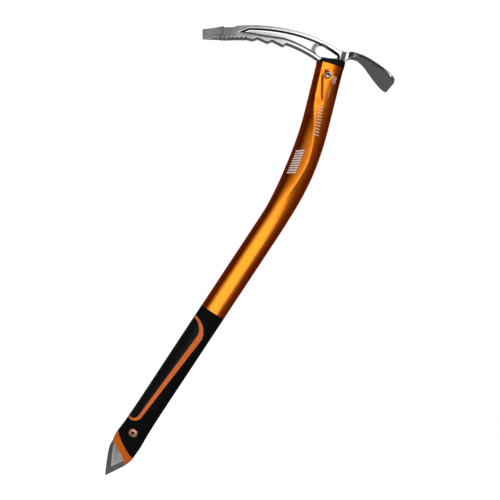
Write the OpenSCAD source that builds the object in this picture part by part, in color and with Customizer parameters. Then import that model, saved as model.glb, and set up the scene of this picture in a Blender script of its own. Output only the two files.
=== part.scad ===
// Ice axe with a bent shaft, a forged head and a moulded grip.
// Frame: the origin is the spike tip, +Z runs up the straight lower shaft,
// -X is the pick side, +X is the adze side and Y is the thickness.
// Sizes are in millimetres.

/* [Shaft] */
// Width of the tube, in the plane of the axe
shaft_width = 33; // [30:0.5:36]
// Thickness of the tube, across the plane of the axe
shaft_thickness = 22; // [20:0.5:26]
// Wall thickness of the tube
shaft_wall = 1.5; // [1.2:0.1:2.5]
// Height of the lower end of the tube
tube_bottom = 46; // [44:1:56]
// Height at which the bend starts
bend_start = 364; // [300:1:420]
// Radius of the bend, to the centre line
bend_radius = 420; // [300:5:600]
// Angle of the bend, in degrees
bend_angle = 19.4; // [10:0.1:25]
// Length of straight tube above the bend
upper_length = 65.5; // [60:0.5:90]

/* [Shaft under the grip] */
// Width of the tube where the grip covers it
core_width = 27; // [24:0.5:28]
// Thickness of the tube where the grip covers it
core_thickness = 17; // [15:0.5:18]

/* [Pick] */
// Distance from the shaft's centre line to the tip of the pick
pick_reach = 161; // [156:0.5:165]
// Thickness of the rims of the pick
pick_thickness = 9; // [8:0.5:11]
// Thickness of the web between the two recesses
web_thickness = 4; // [3:0.5:6]
// Thickness of the pick at its tip
tip_thickness = 3; // [2.5:0.1:4]
// Height of the highest point of the pick above the end of the tube
crown_height = 30; // [29:0.5:32]
// Number of fine scallops along each lower edge of the pick
scallop_count = 8; // [4:1:9]
// Distance between two scallops
scallop_pitch = 5.2; // [4.5:0.1:5.6]

/* [Adze] */
// Distance from the shaft's centre line to the end of the adze
adze_reach = 77.3; // [70:0.1:85]
// Width of the adze at its end
adze_width = 49; // [40:1:60]
// Thickness of the blade
adze_thickness = 3.2; // [2.5:0.1:4]
// Angle by which the blade droops, in degrees
adze_droop = 30.5; // [20:0.5:35]
// Radius of the bend where the neck turns into the blade
adze_bend_radius = 48; // [40:1:60]
// Radius of the two rounded corners
adze_corner = 7; // [4:0.5:10]
// Half width of the neck
neck_half_width = 5.5; // [5:0.5:7]

/* [Carabiner eye] */
// Radius of the wide end of the eye
eye_radius = 7.6; // [7:0.1:8]
// Radius of the narrow end of the eye
eye_small_radius = 2.3; // [2:0.1:2.5]

/* [Head tang] */
// Length of the tang inside the tube
tang_length = 48; // [40:1:60]
// Width of the tang
tang_width = 20; // [16:1:24]
// Thickness of the tang
tang_thickness = 7; // [5:0.5:8]
// Depth of the head rivet below the end of the tube
head_rivet_depth = 14; // [12:0.5:20]

/* [Collar] */
// Height of the collar above the end of the tube
collar_height = 4.5; // [4:0.5:6]

/* [Rivets] */
// Radius of the rivets' shanks
rivet_radius = 3; // [2.5:0.1:3.2]
// Radius of the hole through the rivets
rivet_bore_radius = 1.3; // [1:0.1:1.8]
// Radius of the head rivet's flange
head_flange_radius = 4; // [3.8:0.1:4.6]
// Radius of the spike rivet's flange
spike_flange_radius = 5.2; // [4.6:0.1:5.6]
// Thickness of the flanges
flange_thickness = 0.7; // [0.5:0.1:1]
// Height of the spike rivet above the tip
spike_rivet_height = 66; // [64:1:70]

/* [Spike] */
// Width of the spike blade
spike_width = 31; // [28:0.5:31]
// Thickness of the spike blade
spike_thickness = 8; // [6:0.5:9]
// Thickness left at the bevelled edges
spike_edge = 1.6; // [1:0.1:2.5]
// Height of the spike's shoulder on the adze side
spike_shoulder = 28; // [24:1:30]
// How much higher the shoulder on the pick side is
shoulder_rise = 6; // [0:1:8]
// Top of the spike's tang
spike_tang_top = 112; // [100:1:130]
// Width of the spike's tang
spike_tang_width = 16; // [12:1:18]
// Thickness of the spike's tang
spike_tang_thickness = 6; // [4:0.5:7]

/* [Grip] */
// Height of the top edge of the grip
grip_top = 238; // [230:1:245]
// Width of the grip
grip_width = 33; // [32:0.5:34]
// Thickness of the grip
grip_thickness = 24; // [23:0.5:26]
// Wall of the orange under-moulding
under_wall = 1.2; // [1:0.1:1.5]
// Mean height of the slanted lower edge of the black sleeve
sleeve_bottom = 51; // [50:0.5:54]
// Slant of that edge, in degrees
sleeve_slant = 28; // [20:1:30]
// Mean height of the slanted lower edge of the end collar
end_bottom = 36; // [35:0.5:40]
// Slant of that edge, in degrees
end_slant = 24; // [15:1:28]
// Number of ribs on the front pad
rib_count = 24; // [10:1:28]
// Distance between two ribs
rib_pitch = 3.6; // [3:0.1:4]
// Depth of the grooves between the ribs
rib_depth = 0.6; // [0.3:0.1:0.8]

/* [Hidden] */
$fn = 96;

steel_colour = [0.55, 0.55, 0.56];
orange_metal = [0.90, 0.48, 0.10];
orange_plastic = [0.80, 0.38, 0.08];
black_plastic = [0.05, 0.05, 0.05];
grey_plastic = [0.45, 0.45, 0.47];
copper_colour = [0.78, 0.52, 0.38];

// Where the bend ends and where the tube ends
bend_end_x = -bend_radius * (1 - cos(bend_angle));
bend_end_z = bend_start + bend_radius * sin(bend_angle);
top_x = bend_end_x - upper_length * sin(bend_angle);
top_z = bend_end_z + upper_length * cos(bend_angle);

half_pick = pick_thickness / 2;
half_flat = (shaft_width - shaft_thickness) / 2;
core_half_flat = (core_width - core_thickness) / 2;
grip_half_flat = (grip_width - grip_thickness) / 2;
pocket_depth = (pick_thickness - web_thickness) / 2;

// The straight tube above the bend is larger by this much all round, inside
// and outside, so that it takes in the end of the bend
upper_step = 0.05;
upper_width = shaft_width + 2 * upper_step;
upper_thickness = shaft_thickness + 2 * upper_step;
upper_wall = shaft_wall + 2 * upper_step;

// The wide and the narrow end of the eye
eye_centre = [-14.3, 14.8];
eye_small_centre = [3.8, 12.8];

// Where the drooping blade starts to be straight
blade_top = 22;
blade_start = 19.5;
blade_bend_end = blade_start + adze_bend_radius * sin(adze_droop);
blade_bend_top = blade_top - adze_bend_radius * (1 - cos(adze_droop));
blade_end_top = blade_bend_top - (adze_reach - blade_bend_end) * tan(adze_droop);

// Points along an arc, both ends included
function arc(c, r, a, b, steps) = [
  for (i = [0 : steps]) let (t = a + (b - a) * i / steps) [c[0] + r * cos(t), c[1] + r * sin(t)]
];

// A smooth step from 0 to 1
function ease(t) = t <= 0 ? 0 : t >= 1 ? 1 : t * t * (3 - 2 * t);

// Half width of the adze at a distance from the shaft's centre line
function adze_half(u) = neck_half_width + (adze_width / 2 - neck_half_width) * ease((u - 22) / 50);

// Half thickness of the pick at a distance from the shaft's centre line
function pick_half(u) = u < -137 ? 2.6 : half_pick + (u < -118 ? (u + 118) * 0.06 : 0);

// Upper edge of the pick, lowered by an inset
function crown_edge(inset, left, right) = concat(
  arc([-52, crown_height - 220], 220 - inset, 90 + left, 90, 14),
  arc([-52, crown_height - 175], 175 - inset, 90, 90 - right, 12)
);

// Lower edge of the pick between the hooked teeth and the shaft
function root_edge(inset, from, to) = arc([-72, -136.4], 150 + inset, from, to, 10);

// Moves a child from the head's own frame to the top of the shaft
module at_head() {
  translate([top_x, 0, top_z])
    rotate([0, -bend_angle, 0])
      children();
}

// Turns a flat outline into a plate that stands on the mirror plane
module plate(thickness) {
  rotate([90, 0, 0])
    linear_extrude(height = thickness, center = true)
      children();
}

// Oval outline with two flat sides
module oval(width, thickness) {
  square([width - thickness, thickness], center = true);
  translate([(width - thickness) / 2, 0])
    circle(d = thickness);
  translate([-(width - thickness) / 2, 0])
    circle(d = thickness);
}

// Straight bar with the oval outline
module oval_bar(width, thickness, low, high) {
  translate([0, 0, low])
    linear_extrude(height = high - low)
      oval(width, thickness);
}

// Wall of a tube, as a flat outline
module tube_outline(width, thickness, wall) {
  difference() {
    oval(width, thickness);
    oval(width - 2 * wall, thickness - 2 * wall);
  }
}

// A round bar through the axe, in the head's frame or the spike's frame
module cross_bar(radius, length) {
  rotate([90, 0, 0])
    cylinder(r = radius, h = length, center = true);
}

// Everything above a slanted plane that is higher on the pick side
module above_slant(height, slant) {
  translate([0, 0, height])
    rotate([0, slant, 0])
      translate([-300, -40, 0])
        cube([600, 80, 600]);
}

// Hollow rivet with a flange at each end
module hollow_rivet(flange_radius, seat) {
  rotate([90, 0, 0])
    rotate_extrude()
      polygon([
        [rivet_bore_radius, -seat - flange_thickness],
        [flange_radius, -seat - flange_thickness],
        [flange_radius, -seat],
        [rivet_radius, -seat],
        [rivet_radius, seat],
        [flange_radius, seat],
        [flange_radius, seat + flange_thickness],
        [rivet_bore_radius, seat + flange_thickness]
      ]);
}

// Side view of the pick and of the block that holds the eye
module pick_outline() {
  polygon(concat(
    [[-pick_reach, 5.6], [-149, 9.8], [-136.8, 15.2], [-135.8, 13.6], [-124.2, 16.4]],
    crown_edge(0, 18.2, 19.2),
    [[9, 20], [13, 20.2], [21, blade_top], [21, 14.4]],
    [[18.2, 12], [16.6, 8.5], [15.5, 2], [-15, 2]],
    root_edge(0, 68.5, 84.6),
    [[-61.6, 9.4], [-75.8, 12.6], [-80.5, 8.8], [-93.6, 11.2], [-98.6, 7.6]],
    [[-105, 7.5], [-120, 3.8], [-133.5, -0.2], [-147, -3.1], [-pick_reach + 3, -5.2]]
  ));
}

// Plan view that thins the pick towards its tip
module pick_plan() {
  edge = [
    [-pick_reach - 1, tip_thickness / 2],
    [-137, 2.6],
    [-136, pick_half(-136)],
    [-118, half_pick],
    [22, half_pick]
  ];
  polygon(concat(edge, [for (i = [len(edge) - 1 : -1 : 0]) [edge[i][0], -edge[i][1]]]));
}

// Leaf-shaped recess, pointed towards the tip
module recess_outline() {
  polygon(concat(
    [[-116, 12.4]],
    crown_edge(3.8, 14.4, 17),
    [[6.2, 15.5], [8.6, 11.5], [8.4, 8], [4, 6.4], [-16, 6]],
    root_edge(3.4, 68.8, 86),
    [[-75, 14.6], [-95, 13.4]]
  ));
}

// Outline of the eye: a wide and a narrow round end with two tangent sides
module eye_outline() {
  run = eye_small_centre - eye_centre;
  lean = atan2(run[1], run[0]);
  open = acos((eye_radius - eye_small_radius) / norm(run));
  polygon(concat(
    arc(eye_centre, eye_radius, lean + open, lean + 360 - open, 24),
    arc(eye_small_centre, eye_small_radius, lean - open, lean + open, 8)
  ));
}

// Side view of the neck and the adze
module adze_outline() {
  turn = 90 - adze_droop;
  low = adze_bend_radius - adze_thickness;
  polygon(concat(
    [[13, 20.2], [blade_start - 1, blade_top]],
    arc([blade_start, blade_top - adze_bend_radius], adze_bend_radius, 90, turn, 10),
    [[adze_reach, blade_end_top]],
    [[adze_reach, blade_end_top - adze_thickness]],
    [[blade_bend_end + 6, blade_bend_top - 6 * tan(adze_droop) - adze_thickness - 0.3]],
    [[37, 14.7], [30.6, 16.5], [24.5, 15.9], [20, 13.7], [17.6, 11]]
  ));
}

// Plan view of the neck and the adze
module adze_plan() {
  right = [for (u = [12 : 5 : 67]) [u, -adze_half(u)]];
  left = [for (u = [67 : -5 : 12]) [u, adze_half(u)]];
  corner_u = adze_reach - adze_corner;
  corner_y = adze_width / 2 - adze_corner;
  polygon(concat(
    right,
    arc([corner_u, -corner_y], adze_corner, -90, 0, 6),
    arc([corner_u, corner_y], adze_corner, 0, 90, 6),
    left
  ));
}

// Fine scallops cut into both lower edges of the pick
module scallops() {
  for (i = [0 : scallop_count - 1]) {
    u = -144 + i * scallop_pitch;
    for (side = [-1, 1]) {
      translate([u, side * (pick_half(u) + 1.3), -2.3 + (u + 144) * 0.257])
        rotate([0, -14.4, 0])
          translate([0, 0, -3])
            cylinder(r = 2.2, h = 6, $fn = 48);
    }
  }
}

// Flat tang, in the head's frame
module head_tang() {
  translate([-tang_width / 2, -tang_thickness / 2, -tang_length])
    cube([tang_width, tang_thickness, tang_length + 3]);
}

module head_forging() {
  color(steel_colour)
    at_head()
      difference() {
        union() {
          difference() {
            intersection() {
              plate(pick_thickness)
                pick_outline();
              translate([0, 0, -20])
                linear_extrude(height = 70)
                  pick_plan();
            }
            for (side = [-1, 1]) {
              translate([0, side * (web_thickness / 2 + pocket_depth), 0])
                plate(2 * pocket_depth)
                  recess_outline();
            }
            scallops();
          }
          intersection() {
            plate(adze_width + 10)
              adze_outline();
            translate([0, 0, -20])
              linear_extrude(height = 60)
                adze_plan();
          }
          head_tang();
        }
        plate(pick_thickness + 4)
          eye_outline();
        translate([0, 0, -head_rivet_depth])
          cross_bar(rivet_radius, 40);
      }
}

// Side view of the collar, which rises under the neck
module collar_outline() {
  polygon([
    [-20, 0],
    [20, 0],
    [20, 8],
    [13, collar_height + 3.2],
    [8, collar_height],
    [-20, collar_height]
  ]);
}

module head_collar() {
  color(black_plastic)
    at_head()
      difference() {
        intersection() {
          plate(40)
            collar_outline();
          oval_bar(shaft_width + 0.6, shaft_thickness + 0.6, 0, 20);
        }
        plate(pick_thickness)
          pick_outline();
        plate(2 * neck_half_width)
          adze_outline();
        translate([-tang_width / 2, -tang_thickness / 2, -1])
          cube([tang_width, tang_thickness, 4]);
      }
}

// Filler between the head's tang and the tube, on one side
module head_filler(side) {
  color(grey_plastic)
    at_head()
      difference() {
        intersection() {
          oval_bar(upper_width - 2 * upper_wall, upper_thickness - 2 * upper_wall, -tang_length, 0);
          translate([-20, side > 0 ? tang_thickness / 2 : -20 - tang_thickness / 2, -tang_length])
            cube([40, 20, tang_length]);
        }
        translate([0, 0, -head_rivet_depth])
          cross_bar(rivet_radius, 40);
      }
}

module head_filler_near() {
  head_filler(-1);
}

module head_filler_far() {
  head_filler(1);
}

module head_rivet() {
  color(steel_colour)
    at_head()
      translate([0, 0, -head_rivet_depth])
        hollow_rivet(head_flange_radius, upper_thickness / 2);
}

// Tapered flute pressed into the tube's side below the head rivet
module flute(side) {
  translate([3.6, side * (shaft_thickness / 2 + 1.4), -51])
    rotate([0, -5.5, 0])
      cylinder(r1 = 1.5, r2 = 2.5, h = 31);
}

module shaft_tube() {
  color(orange_metal)
    difference() {
      union() {
        translate([0, 0, grip_top + 2])
          linear_extrude(height = bend_start - grip_top - 2)
            tube_outline(shaft_width, shaft_thickness, shaft_wall);
        translate([-bend_radius, 0, bend_start])
          rotate([90, 0, 0])
            rotate_extrude(angle = bend_angle)
              translate([bend_radius, 0])
                tube_outline(shaft_width, shaft_thickness, shaft_wall);
        at_head()
          translate([0, 0, -upper_length - 1])
            linear_extrude(height = upper_length + 1)
              tube_outline(upper_width, upper_thickness, upper_wall);
        difference() {
          oval_bar(shaft_width, shaft_thickness, grip_top, grip_top + 2);
          oval_bar(core_width - 2 * shaft_wall, core_thickness - 2 * shaft_wall, grip_top - 1, grip_top + 3);
        }
        difference() {
          oval_bar(core_width, core_thickness, tube_bottom, grip_top);
          oval_bar(core_width - 2 * shaft_wall, core_thickness - 2 * shaft_wall, tube_bottom - 1, grip_top + 1);
        }
      }
      at_head() {
        translate([0, 0, -head_rivet_depth])
          cross_bar(rivet_radius, 40);
        flute(-1);
        flute(1);
      }
      translate([0, 0, spike_rivet_height])
        cross_bar(rivet_radius, 40);
    }
}

// Side view of the front pad; the line round it is the band between two of these
module pad_outline(top_c, top_r, low_c, low_r) {
  polygon(concat(
    [[-30, top_c[1] + top_r]],
    arc(top_c, top_r, 90, 0, 14),
    arc(low_c, low_r, 0, -90, 10),
    [[-30, low_c[1] - low_r]]
  ));
}

module pad_inner_outline() {
  pad_outline([-16.5, 204], 16.8, [-15, 88], 9);
}

module pad_outer_outline() {
  pad_outline([-16, 200.5], 23.5, [-13.5, 89], 12);
}

// The space between the orange under-moulding and the outside of the grip
module grip_skin() {
  difference() {
    intersection() {
      oval_bar(grip_width, grip_thickness, 20, grip_top);
      above_slant(sleeve_bottom, sleeve_slant);
    }
    oval_bar(core_width + 2 * under_wall, core_thickness + 2 * under_wall, 10, grip_top + 1);
  }
}

module grip_under_moulding() {
  color(orange_plastic)
    difference() {
      union() {
        intersection() {
          oval_bar(core_width + 2 * under_wall, core_thickness + 2 * under_wall, 20, grip_top);
          above_slant(end_bottom, end_slant);
        }
        difference() {
          intersection() {
            oval_bar(grip_width + 1, grip_thickness + 0.4, 20, 80);
            above_slant(end_bottom, end_slant);
          }
          above_slant(sleeve_bottom, sleeve_slant);
        }
        intersection() {
          grip_skin();
          difference() {
            plate(60)
              pad_outer_outline();
            plate(80)
              pad_inner_outline();
          }
        }
        translate([0, 0, spike_rivet_height])
          cross_bar(spike_flange_radius, grip_thickness - 1.6);
      }
      oval_bar(core_width, core_thickness, tube_bottom, grip_top + 1);
      spike_shape();
      translate([0, 0, spike_rivet_height])
        cross_bar(rivet_radius, 60);
    }
}

module grip_sleeve() {
  color(black_plastic)
    difference() {
      grip_skin();
      plate(60)
        pad_outer_outline();
      translate([0, 0, spike_rivet_height])
        cross_bar(spike_flange_radius, 60);
    }
}

module grip_front_pad() {
  color(black_plastic)
    difference() {
      intersection() {
        grip_skin();
        plate(60)
          pad_inner_outline();
      }
      for (i = [0 : rib_count - 1]) {
        difference() {
          translate([-30, -20, 122 + i * rib_pitch])
            cube([60, 40, 1.4]);
          oval_bar(grip_width - 2 * rib_depth, grip_thickness - 2 * rib_depth, 100, 230);
        }
      }
    }
}

// One long bevel along an edge of the spike, as a wedge that is cut away
module spike_bevel(side) {
  depth = (spike_thickness - spike_edge) / 2;
  rise = side > 0 ? 0 : shoulder_rise;
  rotate([0, side * atan2(spike_width / 2, spike_shoulder + rise), 0])
    for (face = [-1, 1]) {
      linear_extrude(height = 60)
        polygon([
          [side * 1, face * (spike_edge / 2 - 0.5)],
          [side * -6, face * (spike_edge / 2 + depth)],
          [side * -6, face * (spike_thickness + 1)],
          [side * 1, face * (spike_thickness + 1)]
        ]);
    }
}

// Spike blade and tang without the rivet hole
module spike_shape() {
  difference() {
    union() {
      plate(spike_thickness)
        polygon([
          [0, 0],
          [spike_width / 2, spike_shoulder],
          [spike_width / 2, tube_bottom],
          [-spike_width / 2, tube_bottom],
          [-spike_width / 2, spike_shoulder + shoulder_rise]
        ]);
      translate([-spike_tang_width / 2, -spike_tang_thickness / 2, spike_shoulder])
        cube([spike_tang_width, spike_tang_thickness, spike_tang_top - spike_shoulder]);
    }
    intersection() {
      union() {
        spike_bevel(1);
        spike_bevel(-1);
      }
      translate([-30, -30, -1])
        cube([60, 60, spike_shoulder + 11]);
    }
  }
}

module spike_blade() {
  color(steel_colour)
    difference() {
      spike_shape();
      translate([0, 0, spike_rivet_height])
        cross_bar(rivet_radius, 40);
    }
}

// Filler between the spike's tang and the tube, on one side
module spike_filler(side) {
  low = side > 0 ? spike_tang_thickness / 2 : -20 - spike_tang_thickness / 2;
  color(grey_plastic)
    difference() {
      intersection() {
        oval_bar(core_width - 2 * shaft_wall, core_thickness - 2 * shaft_wall, tube_bottom, spike_tang_top);
        translate([-20, low, tube_bottom])
          cube([40, 20, spike_tang_top - tube_bottom]);
      }
      translate([0, 0, spike_rivet_height])
        cross_bar(rivet_radius, 40);
    }
}

module spike_filler_near() {
  spike_filler(-1);
}

module spike_filler_far() {
  spike_filler(1);
}

module spike_rivet() {
  color(copper_colour)
    translate([0, 0, spike_rivet_height])
      hollow_rivet(spike_flange_radius, grip_thickness / 2 - 0.8);
}

head_forging();
head_collar();
head_filler_near();
head_filler_far();
head_rivet();
shaft_tube();
grip_under_moulding();
grip_sleeve();
grip_front_pad();
spike_blade();
spike_filler_near();
spike_filler_far();
spike_rivet();
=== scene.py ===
"""Looks of the ice axe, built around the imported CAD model.

Lengths are in millimetres until a mesh is made, and the frame is the CAD's:
origin at the spike tip, +Z up the lower shaft, -X the pick side, +Y away.
The head has axes of its own, u across and v up from the end of the tube, and a
place on the shaft is its arc length s from the spike tip and its t across.
"""

import math
from collections import Counter

import bmesh
import bpy
import numpy as np
from mathutils import Matrix, Vector
from mathutils.geometry import delaunay_2d_cdt


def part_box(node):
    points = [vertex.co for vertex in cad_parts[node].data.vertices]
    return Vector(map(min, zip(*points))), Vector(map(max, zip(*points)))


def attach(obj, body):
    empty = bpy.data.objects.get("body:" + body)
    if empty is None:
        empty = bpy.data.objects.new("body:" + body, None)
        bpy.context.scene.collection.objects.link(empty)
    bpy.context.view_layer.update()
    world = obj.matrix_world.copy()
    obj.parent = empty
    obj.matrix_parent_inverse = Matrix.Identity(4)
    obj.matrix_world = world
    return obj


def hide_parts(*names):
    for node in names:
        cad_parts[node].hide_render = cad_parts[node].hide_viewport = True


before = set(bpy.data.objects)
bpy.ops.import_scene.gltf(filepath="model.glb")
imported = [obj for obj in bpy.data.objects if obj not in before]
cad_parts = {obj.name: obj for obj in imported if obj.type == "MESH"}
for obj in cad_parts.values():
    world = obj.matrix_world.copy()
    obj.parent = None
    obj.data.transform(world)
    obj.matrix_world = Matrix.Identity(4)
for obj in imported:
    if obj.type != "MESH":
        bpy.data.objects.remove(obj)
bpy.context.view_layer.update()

MM = 0.001


def box(node):
    """A CAD node's lowest and highest corner, in millimetres."""
    low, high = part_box(node)
    return np.array(low) / MM, np.array(high) / MM


def middle(node):
    """Centre of a CAD node's box, in millimetres."""
    low, high = box(node)
    return (low + high) / 2


# ---------------------------------------------------------------- the frame

LEAN = math.radians(19.4)       # angle of the bend
COS, SIN = math.cos(LEAN), math.sin(LEAN)
RIVET_DEPTH = 14.0              # head rivet below the end of the tube
UPPER = 65.5                    # straight tube above the bend
BEND_RADIUS = 420.0

rivet_at = middle("head_rivet")
TOP = np.array([rivet_at[0] - RIVET_DEPTH * SIN, rivet_at[2] + RIVET_DEPTH * COS])
bend_end = TOP - UPPER * np.array([-SIN, COS])
BEND_START = bend_end[1] - BEND_RADIUS * SIN
BEND_LENGTH = BEND_RADIUS * LEAN
S_TOP = BEND_START + BEND_LENGTH + UPPER   # arc length of the top of the tube
GRIP_TOP = box("grip_sleeve")[1][2]
SHAFT_LOW = box("shaft_tube")[0][2]
# Places of the rivets, as (x, z)
HEAD_RIVET = (rivet_at[0], rivet_at[2])
SPIKE_AT = tuple(middle("spike_rivet")[[0, 2]])


def head(u, v, y):
    """Points from the head's own axes (u across, v up, y) to the frame."""
    u, v, y = np.broadcast_arrays(u, v, y)
    return np.stack([TOP[0] + u * COS - v * SIN, y, TOP[1] + u * SIN + v * COS], -1)


def line_at(s):
    """Centre line of the shaft at arc length s: x, z and the lean there."""
    s = np.asarray(s, float)
    a = np.clip((s - BEND_START) / BEND_RADIUS, 0, LEAN)
    over = np.maximum(s - BEND_START - BEND_LENGTH, 0)
    x = BEND_RADIUS * (np.cos(a) - 1) - over * np.sin(a)
    z = np.minimum(s, BEND_START) + BEND_RADIUS * np.sin(a) + over * np.cos(a)
    return x, z, a


def across_shaft(s, t, y):
    """Points from the shaft's own axes (arc length, across, y) to the frame."""
    x, z, a = line_at(s)
    t, y = np.broadcast_arrays(t, y)
    return np.stack([x + t * np.cos(a), y, z + t * np.sin(a)], -1)


def table(x, pairs):
    """Smooth value through (x, value) pairs, level beyond both ends."""
    xs, ys = np.array(pairs, float).T
    step = np.diff(xs)
    chord = np.diff(ys) / step
    both = chord[1:] * chord[:-1]
    inner = np.where(both > 0, 2 * both / np.where(both > 0, chord[1:] + chord[:-1], 1), 0)
    slope = np.concatenate([chord[:1], inner, chord[-1:]])
    k = np.clip(np.searchsorted(xs, x) - 1, 0, len(step) - 1)
    t = np.clip((x - xs[k]) / step[k], 0, 1)
    lean_in, lean_out = slope[k] * step[k], slope[k + 1] * step[k]
    return (ys[k] * (1 + 2 * t) * (1 - t) ** 2 + ys[k + 1] * t * t * (3 - 2 * t)
            + lean_in * t * (1 - t) ** 2 - lean_out * t * t * (1 - t))


def ease(t):
    """Smooth step from 0 to 1 while t goes from 0 to 1."""
    t = np.clip(t, 0, 1)
    return t * t * (3 - 2 * t)


def run_length(x, y):
    """Length along a line of points, from its first one."""
    return np.concatenate([[0], np.cumsum(np.hypot(np.diff(x), np.diff(y)))])


def arc(cx, cy, r, a, b, steps):
    """Points on a circle from angle a to angle b, in degrees."""
    t = np.radians(np.linspace(a, b, steps + 1))
    return [(cx + r * math.cos(q), cy + r * math.sin(q)) for q in t]


# ---------------------------------------------------------------- mesh tools

def grid_faces(m, n, wrap=False, start=0, flip=False):
    """Quads of an m by n grid of vertices; wrap joins the last column to the first."""
    i, j = np.meshgrid(np.arange(m - 1), np.arange(n if wrap else n - 1), indexing="ij")
    k = (j + 1) % n
    f = np.stack([i * n + j, i * n + k, (i + 1) * n + k, (i + 1) * n + j], -1).reshape(-1, 4)
    if flip:
        f = f[:, ::-1]
    return (f + start).tolist()


def piece(name, verts, faces, material, slot, replaced=(), angle=32.0):
    """A mesh object in metres, smooth but for edges sharper than the angle."""
    me = bpy.data.meshes.new(name)
    me.from_pydata((np.asarray(verts, float) * MM).tolist(), [], faces)
    me.validate()
    ob = bpy.data.objects.new(name, me)
    bpy.context.scene.collection.objects.link(ob)
    me.materials.append(material)
    finish_mesh(ob, angle)
    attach(ob, "root")
    if replaced:
        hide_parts(*replaced)
    return ob


def finish_mesh(ob, angle):
    """Merges doubled points, turns all faces outwards and sets the shading."""
    bm = bmesh.new()
    bm.from_mesh(ob.data)
    bmesh.ops.remove_doubles(bm, verts=bm.verts, dist=2e-6)
    bmesh.ops.dissolve_degenerate(bm, dist=1e-7, edges=bm.edges)
    bmesh.ops.recalc_face_normals(bm, faces=bm.faces)
    bm.to_mesh(ob.data)
    bm.free()
    ob.data.shade_smooth()
    ob.data.set_sharp_from_angle(angle=math.radians(angle))


def tube_mesh(rings):
    """Stacked closed rings (m, n, 3) joined into a skin, with fans at both ends."""
    m, n, _ = rings.shape
    verts = rings.reshape(-1, 3).tolist()
    faces = grid_faces(m, n, wrap=True)
    for row, flip in ((0, True), (m - 1, False)):
        verts.append(rings[row].mean(0).tolist())
        c = len(verts) - 1
        for j in range(n):
            a, b = row * n + j, row * n + (j + 1) % n
            faces.append([b, a, c] if flip else [a, b, c])
    return verts, faces


def lathe(name, profile, centre, material, slot, replaced, steps, angle):
    """Turns a closed (radius, y) profile about the Y axis through the centre (x, z)."""
    p = np.array(profile, float)
    t = np.linspace(0, 2 * math.pi, steps, endpoint=False)
    rings = np.stack([
        centre[0] + p[:, None, 0] * np.cos(t), np.repeat(p[:, 1:2], steps, 1),
        centre[1] + p[:, None, 0] * np.sin(t)], -1)
    rings = np.concatenate([rings, rings[:1]])
    m, n, _ = rings.shape
    faces = grid_faces(m, n, wrap=True)
    return piece(name, rings.reshape(-1, 3), faces, material, slot, replaced, angle)


def rim_edges(m, n, ring):
    """Border edges of an m by n grid, whose rows may close into rings."""
    if ring:
        return [(r * n + j, r * n + (j + 1) % n) for r in (0, m - 1) for j in range(n)]
    at = np.arange(m * n).reshape(m, n)
    loop = [*at[0], *at[1:, -1], *at[-1, -2::-1], *at[-2:0:-1, 0]]
    return list(zip(loop, loop[1:] + loop[:1]))


def skin_faces(m, n, ring=False, start=0):
    """Faces of a closed skin: an m by n outer grid, and the inner one after it."""
    inner = start + m * n
    faces = grid_faces(m, n, ring, start) + grid_faces(m, n, ring, inner, True)
    for a, b in rim_edges(m, n, ring):
        faces.append([int(a) + start, int(b) + start, int(b) + inner, int(a) + inner])
    return faces


def shell(name, top, normal, depth, material, slot, replaced=(), ring=False, angle=40.0):
    """A closed skin: a grid of surface points, thickened inwards by the depth."""
    m, n, _ = top.shape
    verts = np.concatenate([top.reshape(-1, 3), (top - normal * depth).reshape(-1, 3)])
    return piece(name, verts, skin_faces(m, n, ring), material, slot, replaced, angle)


# ---------------------------------------------------------------- materials

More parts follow.
